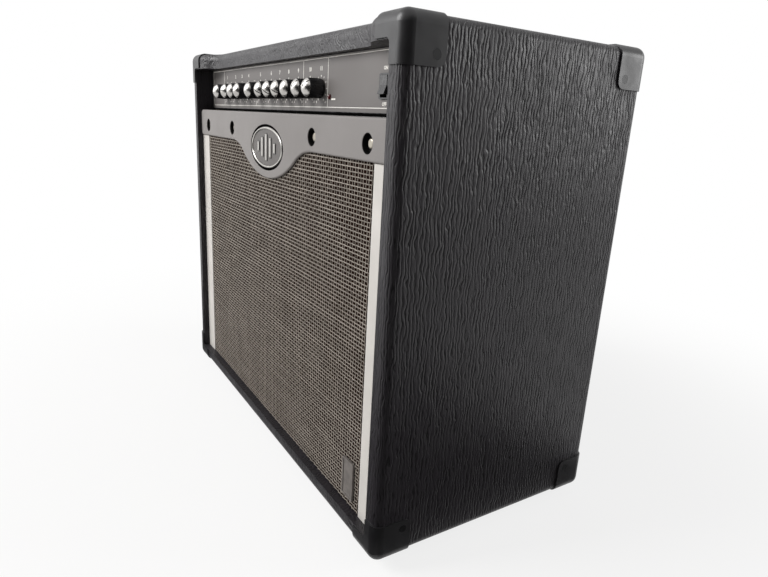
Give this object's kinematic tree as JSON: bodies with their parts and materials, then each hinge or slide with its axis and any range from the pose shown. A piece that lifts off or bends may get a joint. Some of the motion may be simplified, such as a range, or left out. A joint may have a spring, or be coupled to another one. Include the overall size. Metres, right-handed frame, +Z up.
{
  "type": "guitar amplifier",
  "caption": "Combo guitar amplifier: vinyl-covered cabinet with corner protectors, recessed control panel with turning knobs, woven grille, loudspeaker and open back.",
  "frame": {"origin": "middle of the cabinet's footprint, on the surface that the rubber feet stand on", "axes": "+X to the right seen from the front, +Y to the back, +Z up"},
  "size_m": [0.5782, 0.2832, 0.513],
  "materials": {
    "vinyl_board": "MDF board covered in black deep-grained vinyl cloth",
    "raw_board": "bare particle board stained dark",
    "softwood": "planed softwood batten",
    "grille_weave": "open basket weave of beige-grey thread over dark brown",
    "pale_trim": "satin silver-grey moulded strip",
    "badge_plastic": "fine-textured charcoal ABS moulding",
    "bright_ring": "bright plated bevel",
    "dark_gloss": "smooth black",
    "screw_silver": "zinc plated",
    "guard_plastic": "moulded black polyethylene",
    "screw_black": "black oxide steel",
    "bolt_zinc": "zinc plated",
    "strap_vinyl": "soft black moulded vinyl",
    "foot_rubber": "black rubber",
    "chassis_steel": "zinc plated sheet steel",
    "panel_grey": "charcoal enamel with white print",
    "board_green": "glass-epoxy circuit board",
    "capacitor_sleeve": "shrink sleeve",
    "sink_black": "black anodised extrusion",
    "transformer_steel": "varnished laminations",
    "pot_metal": "plated can",
    "black_plastic": "black nylon",
    "lamp_red": "tinted clear lens",
    "lever_plastic": "black acetal",
    "knob_plastic": "black ABS with a bright foil cap",
    "basket_paint": "black stove enamel",
    "magnet_ferrite": "ferrite ring between zinc plated plates",
    "cone_paper": "pressed paper",
    "surround_cloth": "doped cloth",
    "spider_cloth": "phenolic-dipped cloth",
    "tank_steel": "zinc plated sheet with steel springs",
    "lead_pvc": "black PVC sheath"
  },
  "bodies": {
    "cabinet": {"top_panel": "vinyl_board", "bottom_panel": "vinyl_board", "left_side_panel": "vinyl_board", "right_side_panel": "vinyl_board", "baffle_board": "raw_board", "cleats": "softwood", "upper_back_panel": "vinyl_board", "lower_back_panel": "vinyl_board", "grille_cloth": "grille_weave", "grille_trim_strips": "pale_trim", "badge_panel": "badge_plastic", "badge_ring": "bright_ring", "badge_disc": "dark_gloss", "badge_screws": "screw_silver", "grille_plate": "badge_plastic", "front_corner_protectors": "guard_plastic", "rear_corner_protectors": "guard_plastic", "cabinet_screws": "screw_black", "machine_bolts": "bolt_zinc", "handle_strap": "strap_vinyl", "handle_end_caps": "guard_plastic", "rubber_feet": "foot_rubber", "chassis": "chassis_steel", "control_panel": "panel_grey", "circuit_boards": "board_green", "filter_capacitors": "capacitor_sleeve", "heatsink": "sink_black", "power_transformer": "transformer_steel", "potentiometers": "pot_metal", "lever_switch_bodies": "pot_metal", "front_jacks": "black_plastic", "rocker_frame": "black_plastic", "power_lamp": "lamp_red", "speaker_basket": "basket_paint", "speaker_magnet": "magnet_ferrite", "speaker_surround": "surround_cloth", "speaker_spider": "spider_cloth", "reverb_tank": "tank_steel", "speaker_lead": "lead_pvc", "reverb_leads": "lead_pvc", "mains_inlet": "black_plastic", "fuse_holder": "black_plastic", "rear_jacks": "black_plastic"},
    "handle_grip": {"handle_grip": "strap_vinyl"},
    "power_rocker": {"power_rocker": "lever_plastic"},
    "speaker_cone": {"speaker_cone": "cone_paper"},
    "knob_01": {"knob_01": "knob_plastic"},
    "knob_02": {"knob_02": "knob_plastic"},
    "knob_03": {"knob_03": "knob_plastic"},
    "knob_04": {"knob_04": "knob_plastic"},
    "knob_05": {"knob_05": "knob_plastic"},
    "knob_06": {"knob_06": "knob_plastic"},
    "knob_07": {"knob_07": "knob_plastic"},
    "knob_08": {"knob_08": "knob_plastic"},
    "knob_09": {"knob_09": "knob_plastic"},
    "knob_10": {"knob_10": "knob_plastic"},
    "knob_11": {"knob_11": "knob_plastic"},
    "switch_lever_1": {"switch_lever_1": "lever_plastic"},
    "switch_lever_2": {"switch_lever_2": "lever_plastic"},
    "switch_lever_3": {"switch_lever_3": "lever_plastic"}
  },
  "joints": [
    {"name": "knob_01_turn", "type": "hinge", "parent": "cabinet", "child": "knob_01", "pos_m": [-0.1975, -0.115, 0.437], "axis": [0, 1, 0], "range_deg": [-110, 190]},
    {"name": "knob_02_turn", "type": "hinge", "parent": "cabinet", "child": "knob_02", "pos_m": [-0.1624, -0.115, 0.437], "axis": [0, 1, 0], "range_deg": [-240, 60]},
    {"name": "knob_03_turn", "type": "hinge", "parent": "cabinet", "child": "knob_03", "pos_m": [-0.1362, -0.115, 0.437], "axis": [0, 1, 0], "range_deg": [-90, 210]},
    {"name": "knob_04_turn", "type": "hinge", "parent": "cabinet", "child": "knob_04", "pos_m": [-0.11, -0.115, 0.437], "axis": [0, 1, 0], "range_deg": [-75, 225]},
    {"name": "knob_05_turn", "type": "hinge", "parent": "cabinet", "child": "knob_05", "pos_m": [-0.0675, -0.115, 0.437], "axis": [0, 1, 0], "range_deg": [-100, 200]},
    {"name": "knob_06_turn", "type": "hinge", "parent": "cabinet", "child": "knob_06", "pos_m": [-0.0316, -0.115, 0.437], "axis": [0, 1, 0], "range_deg": [-270, 30]},
    {"name": "knob_07_turn", "type": "hinge", "parent": "cabinet", "child": "knob_07", "pos_m": [-0.0054, -0.115, 0.437], "axis": [0, 1, 0], "range_deg": [-275, 25]},
    {"name": "knob_08_turn", "type": "hinge", "parent": "cabinet", "child": "knob_08", "pos_m": [0.0208, -0.115, 0.437], "axis": [0, 1, 0], "range_deg": [-270, 30]},
    {"name": "knob_09_turn", "type": "hinge", "parent": "cabinet", "child": "knob_09", "pos_m": [0.047, -0.115, 0.437], "axis": [0, 1, 0], "range_deg": [-120, 180]},
    {"name": "knob_10_turn", "type": "hinge", "parent": "cabinet", "child": "knob_10", "pos_m": [0.077, -0.115, 0.437], "axis": [0, 1, 0], "range_deg": [-185, 115]},
    {"name": "knob_11_turn", "type": "hinge", "parent": "cabinet", "child": "knob_11", "pos_m": [0.1032, -0.115, 0.437], "axis": [0, 1, 0], "range_deg": [-195, 105]},
    {"name": "switch_lever_1_tilt", "type": "hinge", "parent": "cabinet", "child": "switch_lever_1", "pos_m": [-0.181, -0.116, 0.437], "axis": [1, 0, 0], "range_deg": [0, 24]},
    {"name": "switch_lever_2_tilt", "type": "hinge", "parent": "cabinet", "child": "switch_lever_2", "pos_m": [-0.0885, -0.116, 0.437], "axis": [1, 0, 0], "range_deg": [0, 24]},
    {"name": "switch_lever_3_tilt", "type": "hinge", "parent": "cabinet", "child": "switch_lever_3", "pos_m": [-0.05, -0.116, 0.437], "axis": [1, 0, 0], "range_deg": [0, 24]},
    {"name": "power_rocker_tilt", "type": "hinge", "parent": "cabinet", "child": "power_rocker", "pos_m": [0.2252, -0.112, 0.437], "axis": [1, 0, 0], "range_deg": [0, 22]},
    {"name": "speaker_cone_travel", "type": "slide", "parent": "cabinet", "child": "speaker_cone", "axis": [0, 1, 0], "range_m": [-0.004, 0.004], "stiffness_N_per_m": 3000, "deforming": ["speaker_surround", "speaker_spider"]},
    {"name": "handle_lift", "type": "slide", "parent": "cabinet", "child": "handle_grip", "axis": [0, 0, 1], "range_m": [0, 0.012], "deforming": ["handle_strap"]}
  ]
}
